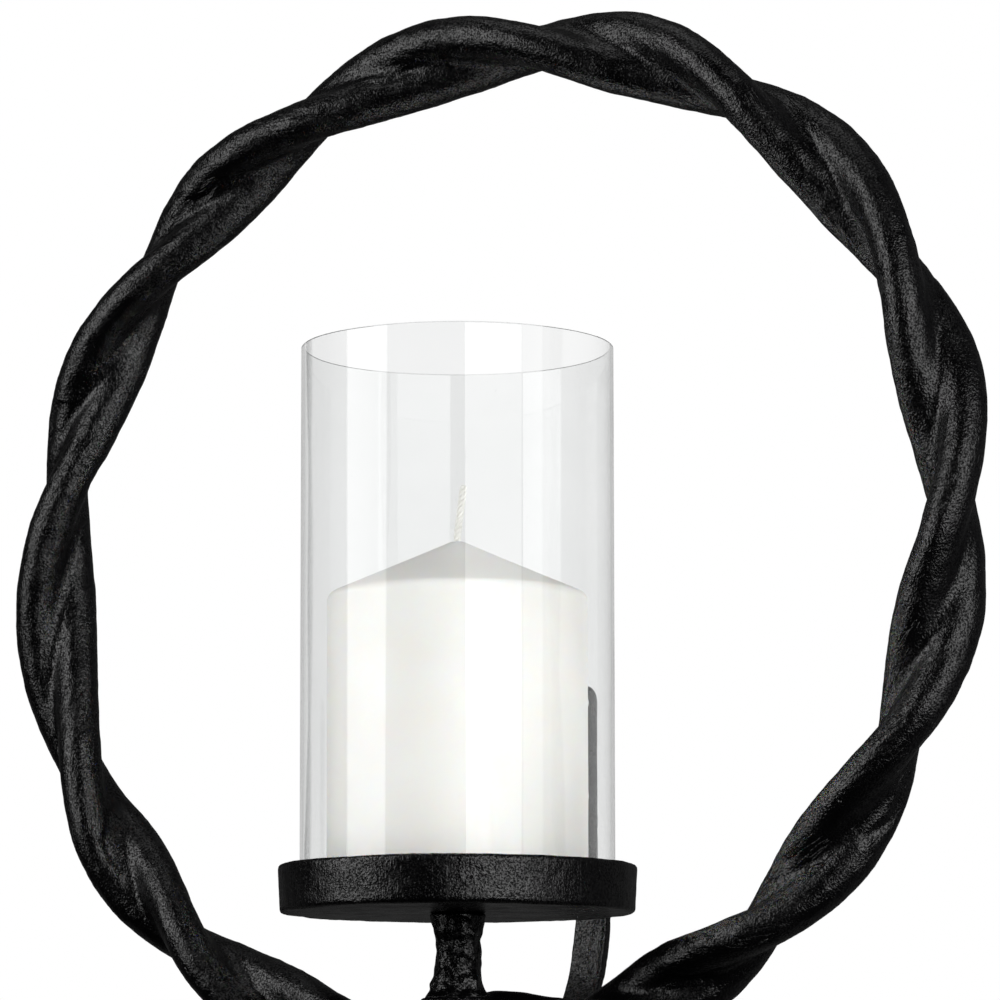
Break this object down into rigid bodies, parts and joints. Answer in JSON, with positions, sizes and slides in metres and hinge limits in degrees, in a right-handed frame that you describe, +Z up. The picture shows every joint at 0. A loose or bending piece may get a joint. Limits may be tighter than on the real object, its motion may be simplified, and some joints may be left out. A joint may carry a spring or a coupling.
{
  "type": "wall sconce candle holder",
  "caption": "Wall sconce with a twisted bar hoop around a clear glass chimney and pillar candle on a round tray, carried by a curved wall bracket.",
  "frame": {"origin": "centre of the upper wall screw hole, on the wall bracket's back face, which lies against the wall", "axes": "+Y into the wall, +X to the right for somebody who faces the wall, +Z up"},
  "size_m": [0.3344, 0.1504, 0.3371],
  "materials": {
    "black_casting": "black satin powder coat over a rough sand casting",
    "black_screw": "black oxide, satin",
    "clear_glass": "clear, rims cut square",
    "ivory_wax": "smooth ivory paraffin wax, soft sheen",
    "wick_cotton": "braided cotton, waxed",
    "tin_plate": "tin plate"
  },
  "bodies": {
    "holder": {"ring": "black_casting", "stem": "black_casting", "wall_bracket": "black_casting", "tray": "black_casting", "tray_screw": "black_screw", "stem_bolt": "black_screw", "bolt_washer": "black_screw"},
    "glass": {"glass_cylinder": "clear_glass"},
    "candle_body": {"candle": "ivory_wax", "wick": "wick_cotton", "wick_sustainer": "tin_plate"}
  },
  "joints": [
    {"name": "glass_lift", "type": "slide", "parent": "holder", "child": "glass", "axis": [0, 0, 1], "range_m": [0, 0.064]},
    {"name": "candle_lift", "type": "slide", "parent": "holder", "child": "candle_body", "axis": [0, 0, 1], "range_m": [0, 0.1]}
  ]
}
